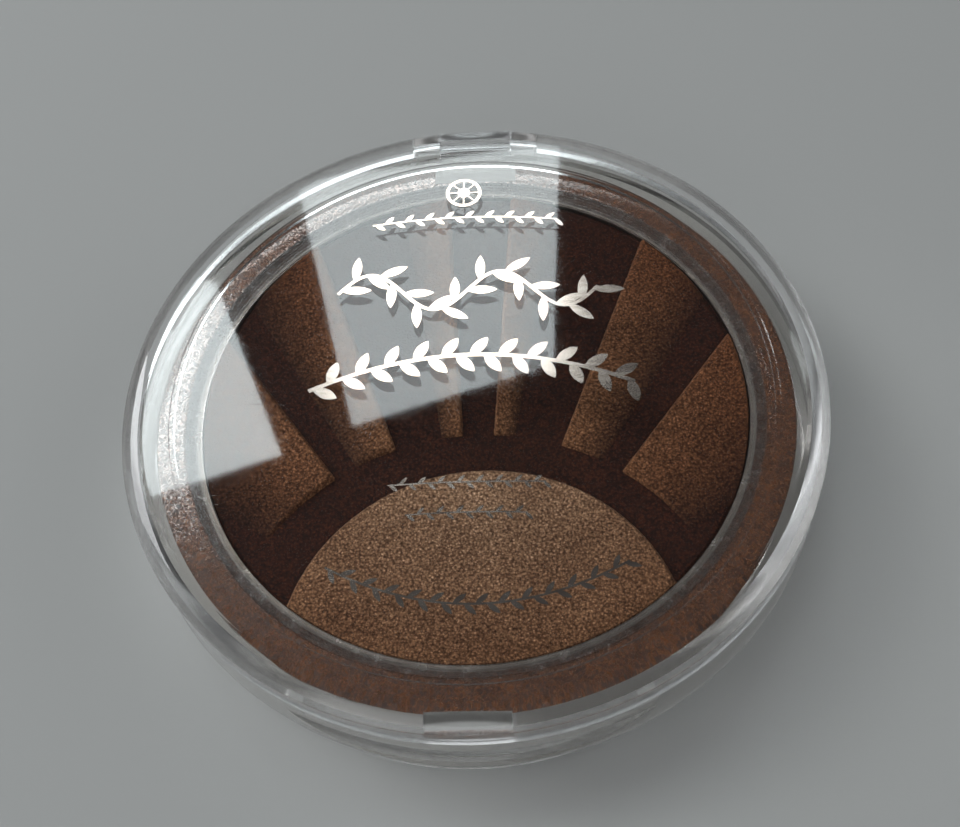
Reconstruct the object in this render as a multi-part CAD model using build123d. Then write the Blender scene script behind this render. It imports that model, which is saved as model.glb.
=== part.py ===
"""Round clear compact of pressed powder. Millimetres, +Z up, hinge at +Y, thumb lip at -Y."""
import math
import os

from build123d import *

# Heights above the surface the compact stands on
LID_TOP = 15.0
LID_UNDER = 13.3
LID_EDGE = 13.8
LID_CORNER = 12.5
SKIRT_LOW = 11.0
SEAL_LOW = 12.9
RIM_TOP = 10.88
DECK_TOP = 10.6
DECK_LOW = 9.0
GROOVE_TOP = 9.9
RING_TONGUE_TOP = 10.2
RING_EDGE_TOP = 10.35
RING_OUT_TOP = 10.5
RING_CREST = 10.85
RING_IN_TOP = 10.75
PAN_TOP = 10.1
FLOOR_TOP = 2.4
WELL_LOW = 5.0
WELL_TOP = 6.0
ABOVE_ALL = 20.0

# Radii
LID_R = 39.0
LID_FLAT_R = 36.4
SKIRT_IN_R = 37.7
LID_CORNER_RUN = 0.8
BASE_R = 38.9
BASE_IN_R = 37.6
BASE_FOOT_R = 34.0
LIP_R = 40.2
FRAME_R = 37.45
WELL_R = 31.4
WELL_OUT_R = 32.6
RING_IN_R = 32.5
RING_OUT_R = 35.75
RING_ROUND = 0.2
SEAL_R = 33.5
SEAL_HALF = 0.3
PAN_R = 31.1
PAN_WALL = 0.35
PAN_FLOOR = 0.4
POWDER_R = 30.7
GLUE_R = 20.0
GLUE_T = 0.2
FIT = 0.05

# Outer curve of the base, from the foot to the upright wall
BASE_CURVE_MID = (37.4, 1.4)
BASE_CURVE_TOP = 4.8

# Bezel: equal steps that climb outwards from the powder's edge
BEZEL_IN_R = 30.75
BEZEL_LOW = 10.45
BEZEL_STEPS = 5
BEZEL_RISE = 0.11

# Hinge
AXIS_Y = 38.6
AXIS_Z = 10.6
KNUCKLE_R = 1.1
PIN_R = 0.5
PIN_HALF = 7.5
PIN_BORE_HALF = 8.0
PIN_RUN = 0.06
LID_KNUCKLE_X = 4.4
LID_GAP_X0 = 4.48
LID_GAP_X1 = 7.75
LID_GAP_Z = (10.0, 12.0)
LID_ARM_Y = (37.55, 39.5)
LID_ARM_TOP = 13.1
BASE_KNUCKLE_X0 = 4.6
BASE_KNUCKLE_X1 = 7.6
BASE_ARM_Y = (37.6, 39.2)
BASE_ARM_LOW = 8.0
BASE_GAP_X = 4.55
BASE_GAP_Z = (9.2, 12.0)
FRAME_GAP_X = 4.9
FRAME_GAP_Y = 36.9
WALL_Y = (37.0, 41.0)
NOTCH_X = 5.0
NOTCH_Y = 32.6

# Catch, lip, front arcs and rim slots
CATCH_X = 4.3
CATCH_IN_Y = -36.45
CATCH_OUT_Y = -37.1
CATCH_ROOT_Y = -38.2
CATCH_ROOT_LOW = 11.2
CATCH_LOW = 9.4
POCKET_X = 4.7
POCKET_IN_Y = -35.45
RING_TAB_X = 4.4
RING_TAB_Y = (-36.15, -35.5)
RING_TAB_LOW = 9.1
LIP_HALF_DEG = 29.0
LIP_LOW = 6.6
LIP_HIGH = 8.8
LIP_ROUND = 0.7
LIP_DEPTH = 8.0
ARC_IN_R = 36.0
ARC_OUT_R = 36.6
ARC_DEG = (7.9, 26.2)
ARC_RISE = 0.45
SLOT_DEG = 27.3
SLOT_W = 2.0
SLOT_Y = (-38.5, -37.0)
SLOT_Z = (9.3, 11.5)
ROOT = 0.3

# Powder relief: a half sun, and rays that fan out from a point just behind it
GROUND_TOP = 9.8
SUN_X = 1.2
SUN_Y = -29.3
SUN_R = 21.5
SUN_TOP = 10.4
SUN_ROUND = 0.3
FAN_X = 0.6
FAN_Y = -30.0
RAY_START = 26.5
RAY_FAR = 75.0
RAY_HIGH = 10.5
RAY_DROP = 0.6
RAY_DROP_REACH = 50.0
RAYS = [(-58.0, -36.0), (-31.0, -20.0), (-9.2, -3.5), (3.5, 9.2), (20.0, 31.0), (36.0, 58.0)]

# Foil: height of the curve at its middle, half length, leaf length and width, lean and stem width
FOIL_T = 0.04
BADGE_AT = (-1.1, 28.0)
BADGE_R = (2.15, 1.75, 0.75)
SPOKE = (3.7, 0.16)
ROW = dict(half=11.0, count=19, length=1.5, width=0.55, lean=40, stem=0.22, centre=-0.9)
SCROLL = dict(half=15.0, count=21, length=3.6, width=1.15, lean=48, stem=0.42, centre=-0.5)
ARCH = dict(half=18.0, count=23, length=3.1, width=1.3, lean=50, stem=0.5, centre=0.0)
BAR_UPPER = dict(half=8.4, count=17, length=1.2, width=0.4, lean=45, stem=0.18, centre=-0.3)
BAR_LOWER = dict(half=6.4, count=13, length=1.2, width=0.4, lean=45, stem=0.18, centre=-0.3)
SMILE = dict(half=15.6, count=27, length=1.8, width=0.6, lean=42, stem=0.25, centre=0.8)


def turned(points, arc=360.0):
    """Solid of revolution about Z of a closed outline of (radius, height)."""
    face = Plane.XZ * make_face(Polyline(*points, close=True))
    return revolve(face, Axis.Z, revolution_arc=arc)


def block(x0, x1, y0, y1, z0, z1):
    """Box between two corners."""
    size = Box(x1 - x0, y1 - y0, z1 - z0)
    return Pos((x0 + x1) / 2, (y0 + y1) / 2, (z0 + z1) / 2) * size


def rod_x(r, x0, x1):
    """Round bar along X on the hinge axis."""
    bar = Rot(0, 90, 0) * Cylinder(r, x1 - x0)
    return Pos((x0 + x1) / 2, AXIS_Y, AXIS_Z) * bar


def disc(r, z0, z1, x=0.0, y=0.0):
    """Upright cylinder between two heights."""
    return Pos(x, y, (z0 + z1) / 2) * Cylinder(r, z1 - z0)


def front_sector(points, start, end):
    """Outline of (radius, height) turned between two angles from -Y, positive towards +X."""
    return Rot(0, 0, -90 + start) * turned(points, end - start)


def box_ring(r0, r1, z0, z1):
    return [(r0, z0), (r1, z0), (r1, z1), (r0, z1)]


def thumb_lip():
    """Crescent on the front wall: an off-centre disc that fades into the wall at each end."""
    end = math.radians(LIP_HALF_DEG)
    shift = (LIP_R ** 2 - BASE_R ** 2) / (2 * (LIP_R - BASE_R * math.cos(end)))
    r = LIP_R - shift
    edge = [
        (r - LIP_DEPTH, LIP_LOW), (r - LIP_ROUND, LIP_LOW), (r, LIP_LOW + LIP_ROUND),
        (r, LIP_HIGH - LIP_ROUND), (r - LIP_ROUND, LIP_HIGH), (r - LIP_DEPTH, LIP_HIGH),
    ]
    crescent = Pos(0, -shift, 0) * turned(edge)
    half = LIP_R * math.sin(end) + 1
    front = block(-half, half, -LIP_R - 1, -LIP_R + LIP_DEPTH, LIP_LOW - 1, LIP_HIGH + 1)
    return (crescent & front) - disc(BASE_R - ROOT, LIP_LOW - 1, LIP_HIGH + 1)


def base_shell():
    low = Polyline((0, FLOOR_TOP), (0, 0), (BASE_FOOT_R, 0))
    curve = ThreePointArc((BASE_FOOT_R, 0), BASE_CURVE_MID, (BASE_R, BASE_CURVE_TOP))
    high = Polyline(
        (BASE_R, BASE_CURVE_TOP), (BASE_R, RIM_TOP), (BASE_IN_R, RIM_TOP),
        (BASE_IN_R, FLOOR_TOP), (0, FLOOR_TOP),
    )
    shell = revolve(Plane.XZ * make_face(low + curve + high), Axis.Z)
    shell += thumb_lip()
    for side in (-1, 1):
        x0, x1 = sorted((side * BASE_KNUCKLE_X0, side * BASE_KNUCKLE_X1))
        shell += rod_x(KNUCKLE_R, x0, x1)
        shell += block(x0, x1, *BASE_ARM_Y, BASE_ARM_LOW, AXIS_Z)
        slot = block(-SLOT_W / 2, SLOT_W / 2, *SLOT_Y, *SLOT_Z)
        shell -= Rot(0, 0, side * SLOT_DEG) * slot
    shell -= block(-BASE_GAP_X, BASE_GAP_X, *WALL_Y, *BASE_GAP_Z)
    return shell - rod_x(PIN_R, -PIN_BORE_HALF, PIN_BORE_HALF)


def inner_frame():
    """Deck around the powder, with the well for the pan, the ring's groove and two raised front arcs."""
    outline = [
        (0, WELL_LOW), (WELL_R, WELL_LOW), (WELL_R, FLOOR_TOP), (WELL_OUT_R, FLOOR_TOP),
        (WELL_OUT_R, DECK_LOW), (FRAME_R, DECK_LOW), (FRAME_R, DECK_TOP),
        (RING_OUT_R + FIT, DECK_TOP), (RING_OUT_R + FIT, GROOVE_TOP), (WELL_R, GROOVE_TOP),
        (WELL_R, WELL_TOP), (0, WELL_TOP),
    ]
    frame = turned(outline)
    near, far = ARC_DEG
    arc = box_ring(ARC_IN_R, ARC_OUT_R, DECK_TOP - ROOT, DECK_TOP + ARC_RISE)
    for start, end in ((-far, -near), (near, far)):
        frame += front_sector(arc, start, end)
    frame -= block(-POCKET_X, POCKET_X, -FRAME_R - 1, POCKET_IN_Y, DECK_LOW - 1, ABOVE_ALL)
    return frame - block(-FRAME_GAP_X, FRAME_GAP_X, FRAME_GAP_Y, FRAME_R + 1, DECK_LOW - 1, ABOVE_ALL)


def decor_ring():
    """Flat ring with a gap at the hinge and a tab at the front that faces the catch."""
    outline = [
        (WELL_R + FIT, GROOVE_TOP), (RING_OUT_R, GROOVE_TOP), (RING_OUT_R, RING_EDGE_TOP),
        (RING_OUT_R - RING_ROUND, RING_OUT_TOP), (RING_IN_R + RING_ROUND, RING_CREST),
        (RING_IN_R, RING_IN_TOP), (RING_IN_R, RING_TONGUE_TOP), (WELL_R + FIT, RING_TONGUE_TOP),
    ]
    ring = turned(outline) - block(-NOTCH_X, NOTCH_X, NOTCH_Y, RING_OUT_R + 1, DECK_LOW, ABOVE_ALL)
    return ring + block(-RING_TAB_X, RING_TAB_X, *RING_TAB_Y, RING_TAB_LOW, RING_EDGE_TOP)


def bezel_ring():
    """Stepped clear ring that covers the pan's rim and the decor ring's inner tongue."""
    under = PAN_TOP + FIT
    outer = RING_IN_R - FIT
    outline = [
        (BEZEL_IN_R, under), (WELL_R, under), (WELL_R, RING_TONGUE_TOP), (outer, RING_TONGUE_TOP),
    ]
    width = (outer - BEZEL_IN_R) / BEZEL_STEPS
    for k in reversed(range(BEZEL_STEPS)):
        z = BEZEL_LOW + k * BEZEL_RISE
        outline += [(BEZEL_IN_R + (k + 1) * width, z), (BEZEL_IN_R + k * width, z)]
    return turned(outline)


def powder_pan():
    floor = WELL_TOP + GLUE_T
    inner = PAN_R - PAN_WALL
    return turned([
        (0, floor), (PAN_R, floor), (PAN_R, PAN_TOP), (inner, PAN_TOP),
        (inner, floor + PAN_FLOOR), (0, floor + PAN_FLOOR),
    ])


def pan_glue():
    return disc(GLUE_R, WELL_TOP, WELL_TOP + GLUE_T)


def powder_ground():
    return disc(POWDER_R, WELL_TOP + GLUE_T + PAN_FLOOR, GROUND_TOP)


def powder_sun():
    sun = disc(SUN_R, GROUND_TOP, SUN_TOP, SUN_X, SUN_Y)
    sun = chamfer(sun.edges().group_by(Axis.Z)[-1], SUN_ROUND)
    return sun & disc(POWDER_R - FIT, GROUND_TOP, SUN_TOP)


def powder_ray(low_deg, high_deg):
    """Raised sector with its high edge nearest the middle of the pan's fan of rays."""
    corners = []
    for radius, deg in (
        (RAY_START, low_deg), (RAY_FAR, low_deg), (RAY_FAR, high_deg), (RAY_START, high_deg)
    ):
        a = math.radians(deg)
        corners.append((FAN_X + radius * math.sin(a), FAN_Y + radius * math.cos(a)))
    sector = make_face(Polyline(*corners, close=True))
    ray = Pos(0, 0, GROUND_TOP) * extrude(sector, RAY_HIGH - GROUND_TOP)
    ray = ray & disc(POWDER_R - FIT, GROUND_TOP, RAY_HIGH)
    inner = min((low_deg, high_deg), key=abs)
    outer = max((low_deg, high_deg), key=abs)
    reach = RAY_DROP_REACH * math.sin(math.radians(abs(outer - inner)))
    tilt = math.degrees(math.atan2(RAY_DROP, reach))
    side = 1 if inner > 0 else -1
    above = Pos(0, 0, LID_TOP / 2) * Box(4 * LID_R, 4 * LID_R, LID_TOP)
    place = Pos(FAN_X, FAN_Y, RAY_HIGH) * Rot(0, 0, -inner) * Rot(0, side * tilt, 0)
    return ray - place * above


def hinge_pin():
    return rod_x(PIN_R, -PIN_HALF, PIN_HALF)


def lid_catch():
    """Solid block behind the front skirt, with a thinner tongue that drops into the frame's pocket."""
    root = block(-CATCH_X, CATCH_X, CATCH_ROOT_Y, CATCH_IN_Y, CATCH_ROOT_LOW, LID_UNDER + ROOT)
    return root + block(-CATCH_X, CATCH_X, CATCH_OUT_Y, CATCH_IN_Y, CATCH_LOW, CATCH_ROOT_LOW + ROOT)


def lid_shell():
    run = LID_R - LID_FLAT_R
    drop = LID_TOP - LID_EDGE
    r = (run * run + drop * drop) / (2 * drop)
    half = math.asin(run / r) / 2
    middle = (LID_FLAT_R + r * math.sin(half), LID_TOP - r * (1 - math.cos(half)))
    edge = ThreePointArc((LID_FLAT_R, LID_TOP), middle, (LID_R, LID_EDGE))
    wall = Polyline(
        (LID_R, LID_EDGE), (LID_R, SKIRT_LOW), (SKIRT_IN_R, SKIRT_LOW), (SKIRT_IN_R, LID_CORNER),
        (SKIRT_IN_R - LID_CORNER_RUN, LID_UNDER), (0, LID_UNDER), (0, LID_TOP), (LID_FLAT_R, LID_TOP),
    )
    lid = revolve(Plane.XZ * make_face(edge + wall), Axis.Z)
    lid += turned(box_ring(SEAL_R - SEAL_HALF, SEAL_R + SEAL_HALF, SEAL_LOW, LID_UNDER + ROOT))
    lid += lid_catch()
    for side in (-1, 1):
        x0, x1 = sorted((side * LID_GAP_X0, side * LID_GAP_X1))
        lid -= block(x0, x1, *WALL_Y, *LID_GAP_Z)
    lid += rod_x(KNUCKLE_R, -LID_KNUCKLE_X, LID_KNUCKLE_X)
    lid += block(-LID_KNUCKLE_X, LID_KNUCKLE_X, *LID_ARM_Y, AXIS_Z, LID_ARM_TOP)
    return lid - rod_x(PIN_R + PIN_RUN, -LID_KNUCKLE_X - 1, LID_KNUCKLE_X + 1)


def foil(sketch):
    return Pos(0, 0, LID_TOP) * extrude(sketch, FOIL_T)


def leaf(x, y, deg, length, width):
    """Pointed leaf that springs from (x, y) and points along deg."""
    r = (length * length + width * width) / (4 * width)
    offset = r - width / 2
    blade = Pos(0, offset) * Circle(r) & Pos(0, -offset) * Circle(r)
    return Pos(x, y) * Rot(0, 0, deg) * Pos(length * 0.46, 0) * blade


def sprig(stem_y, half, count, length, width, lean, stem, centre):
    """One connected stem along the curve stem_y(x), with leaves springing from it on alternate sides."""
    points = [-half + 2 * half * k / 40 for k in range(41)]
    made = trace(Spline(*[(centre + x, stem_y(x)) for x in points]), stem)
    for k in range(count):
        x = -half * 0.97 + 1.94 * half * k / (count - 1)
        side = 1 if k % 2 else -1
        slope = math.degrees(math.atan2(stem_y(x + 0.1) - stem_y(x - 0.1), 0.2))
        made += leaf(centre + x, stem_y(x), slope + side * lean, length, width)
    return made


def bow(half, mid, sag):
    """Curve that is at mid in the middle and lower by sag at each end."""
    return lambda x: mid - sag * (x / half) ** 2


def wave(mid, swing, pitch):
    """Gently swinging curve about mid."""
    return lambda x: mid + swing * math.sin(2 * math.pi * x / pitch)


def foil_badge():
    outer, inner, hub = BADGE_R
    wheel = Circle(outer) - Circle(inner) + Circle(hub)
    for k in range(4):
        wheel += Rot(0, 0, 45 * k) * Rectangle(*SPOKE)
    return foil(Pos(*BADGE_AT) * wheel)


def main():
    os.makedirs("parts", exist_ok=True)
    made = {
        "base_shell": base_shell(),
        "inner_frame": inner_frame(),
        "decor_ring": decor_ring(),
        "bezel_ring": bezel_ring(),
        "powder_pan": powder_pan(),
        "pan_glue": pan_glue(),
        "powder_ground": powder_ground(),
        "powder_sun": powder_sun(),
        "hinge_pin": hinge_pin(),
        "lid_shell": lid_shell(),
        "foil_badge": foil_badge(),
        "foil_row": foil(sprig(bow(ROW["half"], 24.2, 0.8), **ROW)),
        "foil_scroll": foil(sprig(wave(13.4, 2.6, 15.0), **SCROLL)),
        "foil_arch": foil(sprig(bow(ARCH["half"], 4.4, 4.2), **ARCH)),
        "foil_bar_upper": foil(sprig(bow(BAR_UPPER["half"], -11.8, 0.2), **BAR_UPPER)),
        "foil_bar_lower": foil(sprig(bow(BAR_LOWER["half"], -15.4, 0.2), **BAR_LOWER)),
        "foil_smile": foil(sprig(bow(SMILE["half"], -25.8, -4.4), **SMILE)),
    }
    for k, (low, high) in enumerate(RAYS):
        made[f"powder_ray_{k + 1}"] = powder_ray(low, high)
    for node, shape in made.items():
        export_step(shape, f"parts/{node}.step")


main()
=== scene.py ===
import math

import bmesh
import bpy
from mathutils import Matrix, Vector, noise


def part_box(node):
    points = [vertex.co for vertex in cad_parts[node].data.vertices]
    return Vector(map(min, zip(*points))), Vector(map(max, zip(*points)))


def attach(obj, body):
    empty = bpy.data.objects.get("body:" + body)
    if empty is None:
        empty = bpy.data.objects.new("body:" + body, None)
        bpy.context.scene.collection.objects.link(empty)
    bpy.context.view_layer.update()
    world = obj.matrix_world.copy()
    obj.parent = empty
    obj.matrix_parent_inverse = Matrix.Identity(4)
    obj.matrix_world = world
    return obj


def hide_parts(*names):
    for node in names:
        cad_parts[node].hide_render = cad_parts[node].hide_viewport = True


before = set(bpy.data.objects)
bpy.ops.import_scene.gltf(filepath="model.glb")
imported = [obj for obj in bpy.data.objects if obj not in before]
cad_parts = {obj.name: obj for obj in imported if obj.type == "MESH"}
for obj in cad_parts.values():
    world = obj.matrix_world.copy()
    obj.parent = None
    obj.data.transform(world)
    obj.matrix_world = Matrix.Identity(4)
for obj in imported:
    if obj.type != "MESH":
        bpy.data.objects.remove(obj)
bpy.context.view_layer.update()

MM = 0.001

# Sizes worked out from the frame
LID_LOW, LID_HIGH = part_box("lid_shell")
LID_R = (LID_HIGH.x - LID_LOW.x) / 2
LID_TOP = LID_HIGH.z
LID_UNDER = LID_TOP - 1.7 * MM
HANDLED_FROM = 0.945 * LID_R
HANDLED_FULL = 0.99 * LID_R
SKIRT_FROM = 0.88 * LID_R
SKIRT_FULL = 0.92 * LID_R
POWDER_LOW, POWDER_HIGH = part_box("powder_ground")
POWDER_R = (POWDER_HIGH.x - POWDER_LOW.x) / 2
GROUND_TOP = POWDER_HIGH.z
SUN_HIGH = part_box("powder_sun")[1]
SUN_R = 0.7003 * POWDER_R
SUN_X = 0.0391 * POWDER_R
SUN_Y = SUN_HIGH.y - SUN_R
SUN_TOP = SUN_HIGH.z
FAN_X = 0.0195 * POWDER_R
FAN_Y = -0.9772 * POWDER_R
RAY_START = 0.8632 * POWDER_R
RAY_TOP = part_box("powder_ray_1")[1].z
RAY_DROP = 0.6 * MM
RELIEF_R = POWDER_R - 0.15 * MM
RIM_SHADE_FROM = 0.35 * POWDER_R
PIECE_SINK = 0.1 * MM
PIECE_ROOT = 0.3 * MM
SUN_EDGE = 0.55 * MM
RAY_EDGE = 0.4 * MM
RAY_START_EDGE = 0.5 * MM
WALL_EDGE = 0.5 * MM
WALL_DROP = 0.25 * MM
RAYS = [(-58.0, -36.0), (-31.0, -20.0), (-9.2, -3.5), (3.5, 9.2), (20.0, 31.0), (36.0, 58.0)]

# Unevenness of the pressed powder, the grids that carry it, and the angle at which CAD faces stay sharp
GRAIN_HEIGHT = 0.04
FINE_GRAIN = 1400.0
SOFT_GRAIN = 260.0
SOFT_SHIFT = Vector((7.0, 3.0, 1.0))
NEARLY = 0.9999
SUN_GRID = (190, 130)
GROUND_GRID = (210, 210)
RAY_ALONG = 110
RAY_LEAST_ACROSS = 24
RAY_ACROSS_PER_DEG = 3
WELD = 1e-7
SHARP_DEG = 28

# Camera: it looks at the middle of the lid's outer edge
LENS = 52.5
CAMERA_DISTANCE = 3.974 * LID_R
CAMERA_ELEVATION = 57.1
CAMERA_YAW = 7.1
CAMERA_ROLL = -7.77
AIM_SIDE = -0.243
AIM_UP = -0.850
EDGE_DROP = 1.2 * MM
SENSOR_WIDTH = 36.0
CLIP_START = 0.005

# Window panes: how far behind the compact they stand, in metres, and where their corners mirror on the
# lid's top, in millimetres
WINDOW_Y = 0.6
WINDOW_MAIN = [(-21.6, 30.8), (10.6, 35.8), (9.2, 2.8), (-12.9, -4.5)]
WINDOW_SIDE = [(-48.0, 24.0), (-30.0, 15.7), (-20.4, -7.8), (-44.0, -16.0)]
WINDOW_COLOUR = (0.89, 0.98, 1.0)
PANE_GLOW = 4.3
SIDE_GLOW = 5.8

# Lamps as name, place, size and power; then the room and the floor
SOFTBOXES = [
    ("softbox_left_back", (-0.75, 0.35, 0.55), (0.5, 0.4), 5.0),
    ("softbox_right", (0.80, 0.05, 0.40), (0.9, 0.6), 1.7),
    ("softbox_front", (-0.25, -0.80, 0.45), (0.8, 0.4), 1.6),
]
LAMP_COLOUR = (0.96, 0.98, 1.0)
ROOM_COLOUR = (0.88, 0.88, 0.89)
ROOM_LIGHT = 0.045
FLOOR_COLOUR = (0.54, 0.55, 0.54)
FLOOR_HALF = 3
FLOOR_DROP = 0.02 * MM
BOUNCES = 32

# Looks: the plastic, the bezel's ribs, the painted shade that darkens a ray to its low edge, and how bright a
# painted powder glint is
PLASTIC_IOR = 1.50
RIB_PITCH = 0.30 * MM
WHITE = (1.0, 1.0, 1.0)
# Painted light and shade across a ray: lighter at its high edge, darker towards its low edge
SLOPE_PAINTED_SHADING = [(0.0, (1.15, 1.15, 1.15)), (0.35, (0.95, 0.93, 0.9)), (1.0, (0.26, 0.20, 0.17))]
GLINT_GAIN = (2.4, 2.7, 3.1, 1)


# ---------- node helpers ----------

def new_material(name):
    mat = bpy.data.materials.new(name)
    mat.use_nodes = True
    tree = mat.node_tree
    return mat, tree, tree.nodes["Principled BSDF"]


def coords(tree):
    return tree.nodes.new("ShaderNodeTexCoord").outputs["Object"]


def noise_node(tree, scale, detail=4.0, rough=0.55, stretch=None):
    n = tree.nodes.new("ShaderNodeTexNoise")
    n.inputs["Scale"].default_value = scale
    n.inputs["Detail"].default_value = detail
    n.inputs["Roughness"].default_value = rough
    source = coords(tree)
    if stretch:
        m = tree.nodes.new("ShaderNodeMapping")
        m.inputs["Scale"].default_value = stretch
        tree.links.new(source, m.inputs["Vector"])
        source = m.outputs[0]
    tree.links.new(source, n.inputs["Vector"])
    return n.outputs["Fac"]


def flake_node(tree, scale):
    """Random colour for each flake-sized cell."""
    v = tree.nodes.new("ShaderNodeTexVoronoi")
    v.inputs["Scale"].default_value = scale
    tree.links.new(coords(tree), v.inputs["Vector"])
    return v.outputs["Color"]


def times(tree, a, b):
    m = tree.nodes.new("ShaderNodeMath")
    m.operation = "MULTIPLY"
    tree.links.new(a, m.inputs[0])
    tree.links.new(b, m.inputs[1])
    return m.outputs[0]


def highest(tree, a, b):
    m = tree.nodes.new("ShaderNodeMath")
    m.operation = "MAXIMUM"
    tree.links.new(a, m.inputs[0])
    tree.links.new(b, m.inputs[1])
    return m.outputs[0]


def from_centre(tree):
    """Distance from the compact's axis, in metres."""
    flat = tree.nodes.new("ShaderNodeMapping")
    flat.inputs["Scale"].default_value = (1, 1, 0)
    tree.links.new(coords(tree), flat.inputs["Vector"])
    far = tree.nodes.new("ShaderNodeVectorMath")
    far.operation = "LENGTH"
    tree.links.new(flat.outputs[0], far.inputs[0])
    return far.outputs["Value"]


def above_floor(tree):
    """Height above the floor, in metres."""
    split = tree.nodes.new("ShaderNodeSeparateXYZ")
    tree.links.new(coords(tree), split.inputs[0])
    return split.outputs["Z"]


def hairlines(tree, scale, width, seen):
    """Thin broken scratches: parts of the edges between large cells."""
    v = tree.nodes.new("ShaderNodeTexVoronoi")
    v.feature = "DISTANCE_TO_EDGE"
    v.inputs["Scale"].default_value = scale
    tree.links.new(coords(tree), v.inputs["Vector"])
    line = spread(tree, v.outputs["Distance"], 1.0, 0.0, (0.0, width))
    return times(tree, line, spread(tree, noise_node(tree, scale * 1.7, 2.0), 0.0, 1.0, seen))


def fine_ribs(tree, pitch):
    """Concentric ribs about the compact's axis."""
    w = tree.nodes.new("ShaderNodeTexWave")
    w.wave_type = "RINGS"
    w.rings_direction = "Z"
    w.inputs["Scale"].default_value = math.pi / (10 * pitch)
    tree.links.new(coords(tree), w.inputs["Vector"])
    return w.outputs["Fac"]


def one_channel(tree, colour):
    """One number from a cell's random colour, so that flakes differ in brightness and not in hue."""
    split = tree.nodes.new("ShaderNodeSeparateColor")
    tree.links.new(colour, split.inputs[0])
    return split.outputs[0]


def ramp(tree, source, stops):
    r = tree.nodes.new("ShaderNodeValToRGB")
    while len(r.color_ramp.elements) < len(stops):
        r.color_ramp.elements.new(0.5)
    for e, (place, colour) in zip(r.color_ramp.elements, stops):
        e.position = place
        e.color = (*colour, 1.0)
    tree.links.new(source, r.inputs["Fac"])
    return r.outputs["Color"]


def spread(tree, source, low, high, at=(0.0, 1.0)):
    m = tree.nodes.new("ShaderNodeMapRange")
    m.inputs["From Min"].default_value = at[0]
    m.inputs["From Max"].default_value = at[1]
    m.inputs["To Min"].default_value = low
    m.inputs["To Max"].default_value = high
    tree.links.new(source, m.inputs["Value"])
    return m.outputs["Result"]


def mix(tree, kind, fac, a, b):
    m = tree.nodes.new("ShaderNodeMix")
    m.data_type = "RGBA"
    m.blend_type = kind
    for socket, value in ((m.inputs["Factor"], fac), (m.inputs[6], a), (m.inputs[7], b)):
        if isinstance(value, bpy.types.NodeSocket):
            tree.links.new(value, socket)
        else:
            socket.default_value = value
    return m.outputs[2]


def bump(tree, height, strength, distance, normal=None):
    b = tree.nodes.new("ShaderNodeBump")
    b.inputs["Strength"].default_value = strength
    b.inputs["Distance"].default_value = distance
    tree.links.new(height, b.inputs["Height"])
    if normal is not None:
        tree.links.new(normal, b.inputs["Normal"])
    return b.outputs["Normal"]


def flake_normal(tree, flakes, tilt, slope=1.0):
    """Normal tipped a random way in each flake; with slope below 1 flakes lie flatter than the face."""
    away = tree.nodes.new("ShaderNodeVectorMath")
    away.operation = "MULTIPLY_ADD"
    away.inputs[1].default_value = (tilt * 2, tilt * 2, tilt * 2)
    away.inputs[2].default_value = (-tilt, -tilt, -tilt)
    tree.links.new(flakes, away.inputs[0])
    add = tree.nodes.new("ShaderNodeVectorMath")
    add.operation = "ADD"
    geometry = tree.nodes.new("ShaderNodeNewGeometry")
    lie = tree.nodes.new("ShaderNodeVectorMath")
    lie.operation = "MULTIPLY"
    lie.inputs[1].default_value = (slope, slope, 1.0)
    tree.links.new(geometry.outputs["Normal"], lie.inputs[0])
    tree.links.new(lie.outputs[0], add.inputs[0])
    tree.links.new(away.outputs[0], add.inputs[1])
    unit = tree.nodes.new("ShaderNodeVectorMath")
    unit.operation = "NORMALIZE"
    tree.links.new(add.outputs[0], unit.inputs[0])
    return unit.outputs[0]


# ---------- materials ----------

def let_lamps_through(mat, tree, p, share):
    """Shadow rays pass the plastic, so that what is inside is lit; share is kept at each surface."""
    through = tree.nodes.new("ShaderNodeBsdfTransparent")
    through.inputs["Color"].default_value = (share, share, share, 1)
    path = tree.nodes.new("ShaderNodeLightPath")
    choose = tree.nodes.new("ShaderNodeMixShader")
    tree.links.new(path.outputs["Is Shadow Ray"], choose.inputs["Fac"])
    tree.links.new(p.outputs[0], choose.inputs[1])
    tree.links.new(through.outputs[0], choose.inputs[2])
    tree.links.new(choose.outputs[0], tree.nodes["Material Output"].inputs["Surface"])
    return mat


def clear_plastic(name, tint, rubbed, polished_from, inner_dull, share):
    """Clear moulded plastic with rubbed patches and scratches.

    It is duller by its handled edge, and below the height polished_from, where inner_dull is the roughness
    inside the skirt. share is the light kept by a shadow ray at each surface.
    """
    mat, tree, p = new_material(name)
    p.inputs["Base Color"].default_value = (*tint, 1)
    p.inputs["Transmission Weight"].default_value = 1.0
    p.inputs["IOR"].default_value = PLASTIC_IOR
    rub = noise_node(tree, 180.0, 6.0, 0.65, (1.0, 9.0, 1.0))
    worn = spread(tree, rub, 0.02, 0.055, (0.45, 0.85))
    scratch = spread(tree, hairlines(tree, 90.0, 0.004, (0.54, 0.62)), 0.0, 0.20)
    handled = spread(tree, from_centre(tree), 0.0, rubbed, (HANDLED_FROM, HANDLED_FULL))
    below = spread(tree, above_floor(tree), 1.0, 0.0, (polished_from - 0.1 * MM, polished_from))
    across = spread(tree, from_centre(tree), inner_dull, 0.8 * rubbed, (SKIRT_FROM, SKIRT_FULL))
    dull = times(tree, below, across)
    gloss = highest(tree, highest(tree, worn, scratch), highest(tree, handled, dull))
    tree.links.new(gloss, p.inputs["Roughness"])
    flow = noise_node(tree, 45.0, 2.0)
    tree.links.new(bump(tree, flow, 0.02, 0.2 * MM), p.inputs["Normal"])
    return let_lamps_through(mat, tree, p, share)


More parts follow.
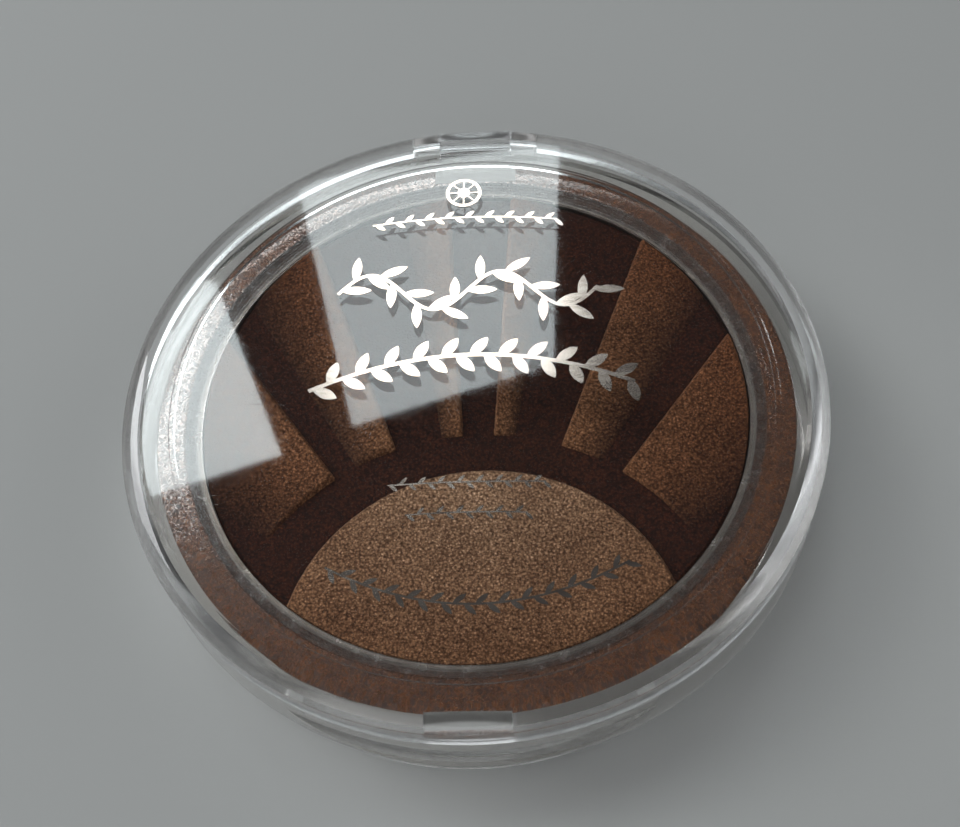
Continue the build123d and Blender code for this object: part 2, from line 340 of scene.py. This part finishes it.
def ribbed_plastic():
    """Clear plastic with fine turned ribs and a little haze, as on the bezel."""
    mat, tree, p = new_material("clear_bezel")
    p.inputs["Base Color"].default_value = (0.74, 0.68, 0.63, 1)
    p.inputs["Transmission Weight"].default_value = 0.97
    p.inputs["IOR"].default_value = PLASTIC_IOR
    ribs = fine_ribs(tree, RIB_PITCH)
    haze = noise_node(tree, 600.0, 4.0)
    tree.links.new(spread(tree, haze, 0.12, 0.30, (0.3, 0.7)), p.inputs["Roughness"])
    tree.links.new(bump(tree, ribs, 0.25, 0.02 * MM), p.inputs["Normal"])
    return let_lamps_through(mat, tree, p, 0.95)


def grains(tree, scale, feature):
    """Distance from the middle of the nearest grain, as a share of a grain."""
    v = tree.nodes.new("ShaderNodeTexVoronoi")
    v.feature = feature
    v.inputs["Scale"].default_value = scale
    tree.links.new(coords(tree), v.inputs["Vector"])
    return v.outputs["Distance"]


def flake_paint():
    """Champagne flakes over brown with small dark pits between them, under gloss."""
    mat, tree, p = new_material("bronze_flake")
    flakes = flake_node(tree, 6000.0)
    level = one_channel(tree, flakes)
    cloud = noise_node(tree, 900.0, 4.0, 0.6)
    ground = ramp(tree, cloud, [(0.3, (0.016, 0.005, 0.002)), (0.7, (0.045, 0.017, 0.007))])
    flake = ramp(tree, cloud, [(0.3, (0.125, 0.044, 0.016)), (0.7, (0.225, 0.090, 0.038))])
    pits = spread(tree, grains(tree, 1750.0, "F1"), 0.0, 1.0, (0.22, 0.34))
    shown = times(tree, spread(tree, level, 0.05, 1.0, (0.20, 0.85)), pits)
    tree.links.new(mix(tree, "MIX", shown, ground, flake), p.inputs["Base Color"])
    tree.links.new(spread(tree, shown, 0.05, 0.40), p.inputs["Metallic"])
    tree.links.new(spread(tree, shown, 0.45, 0.16), p.inputs["Roughness"])
    tipped = flake_normal(tree, flakes, 0.025, 0.1)
    tree.links.new(tipped, p.inputs["Normal"])
    tree.links.new(tipped, p.inputs["Coat Normal"])
    pearl = times(tree, spread(tree, level, 0.30, 0.80, (0.1, 0.7)), pits)
    tree.links.new(pearl, p.inputs["Coat Weight"])
    p.inputs["Coat IOR"].default_value = 2.1
    p.inputs["Coat Roughness"].default_value = 0.10
    return mat


def pressed_powder(name, dark, light, sparkle, rim_shade):
    """Pressed powder: crumbly cloth-pressed grain with painted shade between crumbs, soft blotches, scattered
    shimmer with painted glints, painted shade by the rim, and painted light and shade across a ray.
    """
    mat, tree, p = new_material(name)
    grain = noise_node(tree, 3000.0, 5.0, 0.72)
    rows = noise_node(tree, 1500.0, 2.0, 0.6, (0.35, 1.0, 1.0))
    blotch = noise_node(tree, 150.0, 3.0)
    crumbs = grains(tree, 3900.0, "SMOOTH_F1")
    base = ramp(tree, grain, [(0.34, dark), (0.66, light)])
    # Painted shade in the hollows between crumbs: each crumb darkens from its middle to its edge, where its
    # bump falls away
    crumb_hollow_shade = ramp(tree, crumbs, [(0.08, WHITE), (0.60, (0.30, 0.25, 0.21))])
    base = mix(tree, "MULTIPLY", 1.0, base, crumb_hollow_shade)
    patch = ramp(tree, blotch, [(0.3, (0.66, 0.61, 0.57)), (0.7, WHITE)])
    tinted = mix(tree, "MULTIPLY", 0.8, base, patch)
    # Painted shade: the powder darkens from RIM_SHADE_FROM out to the pan's wall
    out_share = spread(tree, from_centre(tree), 0.0, 1.0, (RIM_SHADE_FROM, POWDER_R))
    shade = ramp(tree, out_share, [(0.0, WHITE), (1.0, rim_shade)])
    tinted = mix(tree, "MULTIPLY", 1.0, tinted, shade)
    # Painted light and shade across a ray's slope, by each point's fall share; the sun and ground, with fall
    # 0, are only lifted evenly
    fall = tree.nodes.new("ShaderNodeAttribute")
    fall.attribute_name = "fall"
    tinted = mix(tree, "MULTIPLY", 1.0, tinted, ramp(tree, fall.outputs["Fac"], SLOPE_PAINTED_SHADING))
    # Painted glints: random shimmer grains get their base colour raised by GLINT_GAIN, as well as more metal
    # and gloss
    flakes = flake_node(tree, 8200.0)
    glint = spread(tree, one_channel(tree, flakes), 0.0, 0.8, (0.80, 1.0))
    glint_colour = mix(tree, "MULTIPLY", 1.0, tinted, GLINT_GAIN)
    tree.links.new(mix(tree, "MIX", glint, tinted, glint_colour), p.inputs["Base Color"])
    tree.links.new(spread(tree, glint, 0.2 * sparkle, sparkle), p.inputs["Metallic"])
    tree.links.new(spread(tree, glint, 0.75, 0.40), p.inputs["Roughness"])
    p.inputs["Specular IOR Level"].default_value = 0.12
    pressed = bump(tree, rows, 0.6, 0.06 * MM, flake_normal(tree, flakes, 0.16))
    pressed = bump(tree, spread(tree, crumbs, 1.0, 0.0, (0.0, 0.7)), 0.7, 0.08 * MM, pressed)
    tree.links.new(bump(tree, grain, 0.8, 0.09 * MM, pressed), p.inputs["Normal"])
    return mat


def stamped_foil():
    """Mirror-bright hot-stamped foil with a faint brushed drag."""
    mat, tree, p = new_material("pale_foil")
    drag = noise_node(tree, 300.0, 3.0, 0.5, (1.0, 6.0, 1.0))
    tone = ramp(tree, drag, [(0.3, (0.74, 0.62, 0.54)), (0.7, (0.84, 0.73, 0.65))])
    tree.links.new(tone, p.inputs["Base Color"])
    p.inputs["Metallic"].default_value = 1.0
    tree.links.new(spread(tree, drag, 0.12, 0.16, (0.3, 0.7)), p.inputs["Roughness"])
    tree.links.new(bump(tree, drag, 0.01, 0.02 * MM), p.inputs["Normal"])
    return mat


def brushed_metal(name, colour, scale):
    mat, tree, p = new_material(name)
    lines = noise_node(tree, scale, 3.0, 0.6, (1.0, 14.0, 14.0))
    low = tuple(c * 0.75 for c in colour)
    tree.links.new(ramp(tree, lines, [(0.3, low), (0.7, colour)]), p.inputs["Base Color"])
    p.inputs["Metallic"].default_value = 1.0
    tree.links.new(spread(tree, lines, 0.22, 0.42), p.inputs["Roughness"])
    tree.links.new(bump(tree, lines, 0.2, 0.03 * MM), p.inputs["Normal"])
    return mat


def glue():
    mat, tree, p = new_material("adhesive")
    lumps = noise_node(tree, 400.0)
    tone = ramp(tree, lumps, [(0.3, (0.60, 0.57, 0.48)), (0.7, (0.80, 0.77, 0.68))])
    tree.links.new(tone, p.inputs["Base Color"])
    tree.links.new(spread(tree, lumps, 0.4, 0.7), p.inputs["Roughness"])
    return mat


def stage_grey(name, colour):
    mat, tree, p = new_material(name)
    p.inputs["Base Color"].default_value = (*colour, 1)
    p.inputs["Roughness"].default_value = 0.9
    return mat


def dress(mat, *nodes):
    for n in nodes:
        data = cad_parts[n].data
        data.materials.clear()
        data.materials.append(mat)


# ---------- powder relief ----------

def grain_height(x, y):
    """Crumbly unevenness of pressed powder, in metres."""
    p = Vector((x, y, 0.0))
    fine = noise.noise(p * FINE_GRAIN)
    soft = noise.noise(p * SOFT_GRAIN + SOFT_SHIFT)
    return (GRAIN_HEIGHT * fine + GRAIN_HEIGHT * soft) * MM


def soft_edge(share):
    """0 at a pressed edge rising smoothly to 1."""
    t = max(0.0, min(1.0, share))
    return t * t * (3 - 2 * t)


def closed_patch(name, place, height, across, along, low, fall=None):
    """Solid whose top is a grid over (u, v), with walls down to a flat bottom; fall(u) is kept per point, for
    the painted shade across a ray.
    """
    mesh = bpy.data.meshes.new(name)
    made = bmesh.new()
    layer = made.verts.layers.float.new("fall")
    rows = []
    for j in range(along + 1):
        row = []
        for i in range(across + 1):
            u, v = i / across, j / along
            x, y = place(u, v)
            row.append(made.verts.new((x, y, height(u, v, x, y) + grain_height(x, y))))
            row[-1][layer] = fall(u) if fall else 0.0
        rows.append(row)
    for j in range(along):
        for i in range(across):
            made.faces.new((rows[j][i], rows[j][i + 1], rows[j + 1][i + 1], rows[j + 1][i]))
    rim = rows[0] + [r[-1] for r in rows[1:]] + rows[-1][-2::-1] + [r[0] for r in rows[-2:0:-1]]
    foot = [made.verts.new((v.co.x, v.co.y, low)) for v in rim]
    for top, bottom in zip(rim, foot):
        bottom[layer] = top[layer]
    for k, v in enumerate(rim):
        n = (k + 1) % len(rim)
        made.faces.new((v, foot[k], foot[n], rim[n]))
    made.faces.new(foot)
    bmesh.ops.remove_doubles(made, verts=made.verts, dist=WELD)
    bmesh.ops.recalc_face_normals(made, faces=made.faces)
    made.to_mesh(mesh)
    made.free()
    for f in mesh.polygons:
        f.use_smooth = True
    piece = bpy.data.objects.new(name, mesh)
    bpy.context.scene.collection.objects.link(piece)
    return piece


def reach(deg):
    """Distance from the fan's centre to the edge of the relief, in direction deg from +Y."""
    a = math.radians(deg)
    d = Vector((math.sin(a), math.cos(a)))
    c = Vector((FAN_X, FAN_Y))
    b = c.dot(d)
    return -b + math.sqrt(max(0.0, b * b - c.length_squared + RELIEF_R ** 2))


def from_fan(deg, r):
    a = math.radians(deg)
    return FAN_X + r * math.sin(a), FAN_Y + r * math.cos(a)


def chord(radius, x, y, level):
    """Ends, in X, of a circle's chord at Y = level."""
    half = math.sqrt(max(0.0, radius ** 2 - (level - y) ** 2))
    return x - half, x + half


def between(low, high, share):
    """Place between two ends, closer spaced near them."""
    return low + (high - low) * (1 - math.cos(math.pi * share)) / 2


def make_sun():
    low, high = -NEARLY * RELIEF_R, SUN_Y + NEARLY * SUN_R

    def place(u, v):
        y = between(low, high, v)
        pan_left, pan_right = chord(RELIEF_R, 0.0, 0.0, y)
        sun_left, sun_right = chord(SUN_R, SUN_X, SUN_Y, y)
        return between(max(pan_left, sun_left), min(pan_right, sun_right), u), y

    def height(u, v, x, y):
        r = math.hypot(x - SUN_X, y - SUN_Y)
        crown = soft_edge((SUN_R - r) / SUN_EDGE)
        return GROUND_TOP - PIECE_SINK + (SUN_TOP - GROUND_TOP + PIECE_SINK) * crown

    return closed_patch("powder_sun_pressed", place, height, *SUN_GRID, GROUND_TOP - PIECE_ROOT)


def make_ray(k, low_deg, high_deg):
    # Share across the ray towards its low edge: it sets both the ray's slope and its painted shade
    def fall(u):
        return u if high_deg > 0 else 1 - u

    def place(u, v):
        deg = low_deg + (high_deg - low_deg) * u
        return from_fan(deg, RAY_START + v * (reach(deg) - RAY_START))

    def height(u, v, x, y):
        r = math.hypot(x - FAN_X, y - FAN_Y)
        width = r * math.radians(high_deg - low_deg)
        start = soft_edge((r - RAY_START) / RAY_START_EDGE)
        edge = soft_edge(min(u, 1 - u) * width / RAY_EDGE) * start
        top = RAY_TOP - RAY_DROP * fall(u)
        return GROUND_TOP - PIECE_SINK + (top - GROUND_TOP + PIECE_SINK) * edge

    across = max(RAY_LEAST_ACROSS, int((high_deg - low_deg) * RAY_ACROSS_PER_DEG))
    low = GROUND_TOP - PIECE_ROOT
    return closed_patch(f"powder_ray_{k}_pressed", place, height, across, RAY_ALONG, low, fall)


def make_ground():
    def place(u, v):
        y = between(-NEARLY * POWDER_R, NEARLY * POWDER_R, v)
        return between(*chord(POWDER_R, 0.0, 0.0, y), u), y

    def height(u, v, x, y):
        near_wall = soft_edge((POWDER_R - math.hypot(x, y)) / WALL_EDGE)
        return GROUND_TOP - WALL_DROP * (1 - near_wall)

    return closed_patch("powder_ground_pressed", place, height, *GROUND_GRID, POWDER_LOW.z)


# ---------- scene ----------

def build_powder():
    # How dark the painted shade by the pan's wall gets, for each powder
    dark_rim_shade, gold_rim_shade, taupe_rim_shade = (0.9, 0.8, 0.7), (0.62, 0.50, 0.40), (0.60, 0.47, 0.38)
    dark = pressed_powder("powder_dark", (0.012, 0.0024, 0.0006), (0.072, 0.019, 0.005), 0.2, dark_rim_shade)
    gold = pressed_powder("powder_gold", (0.120, 0.062, 0.030), (0.60, 0.385, 0.240), 0.5, gold_rim_shade)
    taupe = pressed_powder("powder_taupe", (0.090, 0.034, 0.011), (0.44, 0.225, 0.110), 0.45, taupe_rim_shade)
    pieces = [(make_ground(), "powder_ground", dark), (make_sun(), "powder_sun", gold)]
    for k, (low, high) in enumerate(RAYS, 1):
        pieces.append((make_ray(k, low, high), f"powder_ray_{k}", taupe))
    for piece, node, mat in pieces:
        piece.data.materials.append(mat)
        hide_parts(node)
        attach(piece, "base")


def build_materials():
    dress(clear_plastic("clear_lid", (0.975, 0.975, 0.975), 0.17, LID_UNDER, 0.05, 0.985), "lid_shell")
    dress(clear_plastic("clear_base", (0.95, 0.935, 0.915), 0.24, LID_UNDER, 0.15, 0.84), "base_shell")
    dress(clear_plastic("clear_frame", (0.94, 0.92, 0.895), 0.10, 0.0, 0.0, 0.90), "inner_frame")
    dress(ribbed_plastic(), "bezel_ring")
    dress(flake_paint(), "decor_ring")
    dress(brushed_metal("pan_aluminium", (0.30, 0.27, 0.24), 500.0), "powder_pan")
    dress(brushed_metal("pin_steel", (0.62, 0.62, 0.62), 900.0), "hinge_pin")
    dress(glue(), "pan_glue")
    foils = [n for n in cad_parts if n.startswith("foil_")]
    dress(stamped_foil(), *foils)
    turned = ["lid_shell", "base_shell", "inner_frame", "bezel_ring", "decor_ring", "powder_pan", "hinge_pin"]
    for n in turned:
        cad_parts[n].data.shade_smooth()
        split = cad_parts[n].modifiers.new("sharp_edges", "EDGE_SPLIT")
        split.split_angle = math.radians(SHARP_DEG)


def camera_axes():
    e = math.radians(CAMERA_ELEVATION)
    forward = Vector((0, math.cos(e), -math.sin(e)))
    right = Vector((1, 0, 0))
    up = Vector((0, math.sin(e), math.cos(e)))
    side, lift = math.radians(AIM_SIDE), math.radians(AIM_UP)
    forward, right = (
        forward * math.cos(side) - right * math.sin(side),
        right * math.cos(side) + forward * math.sin(side),
    )
    forward, up = (
        forward * math.cos(lift) + up * math.sin(lift),
        up * math.cos(lift) - forward * math.sin(lift),
    )
    c, s = math.cos(math.radians(CAMERA_ROLL)), math.sin(math.radians(CAMERA_ROLL))
    right, up = right * c + up * s, up * c - right * s
    return right, up, -forward


def build_camera():
    e = math.radians(CAMERA_ELEVATION)
    yaw = Matrix.Rotation(math.radians(CAMERA_YAW), 4, "Z")
    aim = Vector((0, 0, LID_TOP - EDGE_DROP))
    away = Vector((0, -math.cos(e), math.sin(e))) * CAMERA_DISTANCE
    turn = Matrix(camera_axes()).transposed().to_4x4()
    data = bpy.data.cameras.new("camera")
    data.lens = LENS
    data.sensor_width = SENSOR_WIDTH
    data.clip_start = CLIP_START
    camera = bpy.data.objects.new("camera", data)
    bpy.context.scene.collection.objects.link(camera)
    camera.matrix_world = Matrix.Translation(aim) @ yaw @ Matrix.Translation(away) @ turn
    bpy.context.scene.camera = camera
    return camera


def emitter(name, colour, strength):
    mat = bpy.data.materials.new(name)
    mat.use_nodes = True
    tree = mat.node_tree
    tree.nodes.remove(tree.nodes["Principled BSDF"])
    glow = tree.nodes.new("ShaderNodeEmission")
    glow.inputs["Color"].default_value = (*colour, 1)
    glow.inputs["Strength"].default_value = strength
    tree.links.new(glow.outputs[0], tree.nodes["Material Output"].inputs["Surface"])
    return mat


def window(name, on_lid, camera, strength):
    """Bright pane whose corners mirror on the lid's top at the given places, in millimetres."""
    eye = camera.matrix_world.translation
    corners = []
    for x, y in on_lid:
        p = Vector((x * MM, y * MM, LID_TOP))
        d = p - eye
        d.z = -d.z
        corners.append(p + d * ((WINDOW_Y - p.y) / d.y))
    mesh = bpy.data.meshes.new(name)
    mesh.from_pydata(corners, [], [(0, 1, 2, 3)])
    mesh.materials.append(emitter(name, WINDOW_COLOUR, strength))
    pane = bpy.data.objects.new(name, mesh)
    bpy.context.scene.collection.objects.link(pane)
    pane.visible_camera = False


def softbox(name, place, size, power):
    """Soft area light aimed at the compact."""
    data = bpy.data.lights.new(name, "AREA")
    data.shape = "RECTANGLE"
    data.size, data.size_y = size
    data.energy = power
    data.color = LAMP_COLOUR
    lamp = bpy.data.objects.new(name, data)
    bpy.context.scene.collection.objects.link(lamp)
    lamp.location = place
    lamp.rotation_euler = (-place).to_track_quat("-Z", "Y").to_euler()
    lamp.visible_camera = False


def build_stage(camera):
    mesh = bpy.data.meshes.new("floor")
    corners = [(-FLOOR_HALF, -FLOOR_HALF, 0), (FLOOR_HALF, -FLOOR_HALF, 0)]
    corners += [(FLOOR_HALF, FLOOR_HALF, 0), (-FLOOR_HALF, FLOOR_HALF, 0)]
    mesh.from_pydata(corners, [], [(0, 1, 2, 3)])
    mesh.materials.append(stage_grey("floor_pale", FLOOR_COLOUR))
    floor = bpy.data.objects.new("floor", mesh)
    bpy.context.scene.collection.objects.link(floor)
    floor.location.z = -FLOOR_DROP
    window("window_main", WINDOW_MAIN, camera, PANE_GLOW)
    window("window_side", WINDOW_SIDE, camera, SIDE_GLOW)
    for name, place, size, power in SOFTBOXES:
        softbox(name, Vector(place), size, power)
    world = bpy.data.worlds.new("soft_room")
    world.use_nodes = True
    sky = world.node_tree.nodes["Background"]
    sky.inputs["Color"].default_value = (*ROOM_COLOUR, 1)
    sky.inputs["Strength"].default_value = ROOM_LIGHT
    scene = bpy.context.scene
    scene.world = world
    scene.view_settings.view_transform = "Standard"
    scene.cycles.use_denoising = True
    scene.cycles.max_bounces = BOUNCES
    scene.cycles.transmission_bounces = BOUNCES
    scene.cycles.transparent_max_bounces = BOUNCES
    scene.cycles.glossy_bounces = BOUNCES // 2


build_materials()
build_powder()
build_stage(build_camera())
